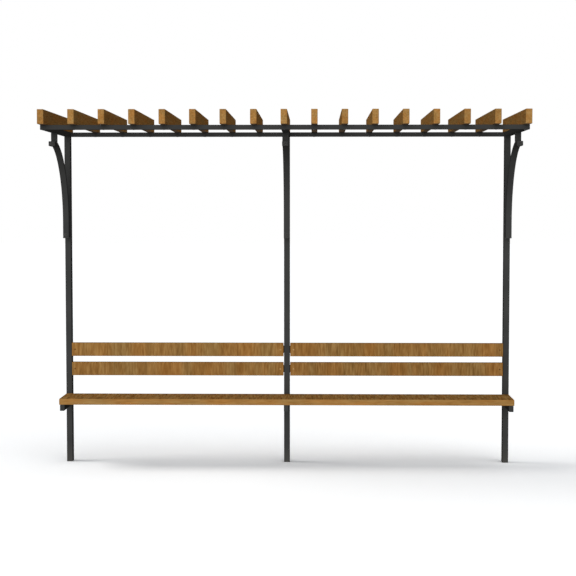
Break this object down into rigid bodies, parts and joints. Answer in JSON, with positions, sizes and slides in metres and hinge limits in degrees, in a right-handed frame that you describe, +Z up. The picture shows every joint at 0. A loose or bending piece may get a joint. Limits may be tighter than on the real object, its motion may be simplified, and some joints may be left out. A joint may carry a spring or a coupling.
{
  "type": "bench pergola",
  "caption": "Bench pergola: steel posts with curved braces carry a cantilevered roof of timber rafters, a timber bench and slatted backs.",
  "frame": {"origin": "centre of the middle post's foot, on the ground", "axes": "+X along the bench, to the right seen from the front; -Y the front, where the roof and the seat reach out; +Z up"},
  "size_m": [3.04, 1.09, 2.354],
  "materials": {
    "frame_paint": "satin charcoal powder coat",
    "timber": "oiled warm brown hardwood"
  },
  "bodies": {
    "root": {"post_left": "frame_paint", "post_centre": "frame_paint", "post_right": "frame_paint", "arm_left": "frame_paint", "arm_centre": "frame_paint", "arm_right": "frame_paint", "hanger_left": "frame_paint", "hanger_centre": "frame_paint", "hanger_right": "frame_paint", "brace_left": "frame_paint", "brace_centre": "frame_paint", "brace_right": "frame_paint", "spacer_left": "frame_paint", "spacer_centre": "frame_paint", "spacer_right": "frame_paint", "seat_bracket_left": "frame_paint", "seat_bracket_centre": "frame_paint", "seat_bracket_right": "frame_paint", "front_rail": "frame_paint", "back_rail": "frame_paint", "slat_lugs": "frame_paint", "rafter_01": "timber", "rafter_02": "timber", "rafter_03": "timber", "rafter_04": "timber", "rafter_05": "timber", "rafter_06": "timber", "rafter_07": "timber", "rafter_08": "timber", "rafter_09": "timber", "rafter_10": "timber", "rafter_11": "timber", "rafter_12": "timber", "rafter_13": "timber", "rafter_14": "timber", "rafter_15": "timber", "rafter_16": "timber", "rafter_17": "timber", "seat_board_front": "timber", "seat_board_middle": "timber", "seat_board_back": "timber", "top_slat_left": "timber", "top_slat_right": "timber", "low_slat_left": "timber", "low_slat_right": "timber"}
  },
  "joints": []
}
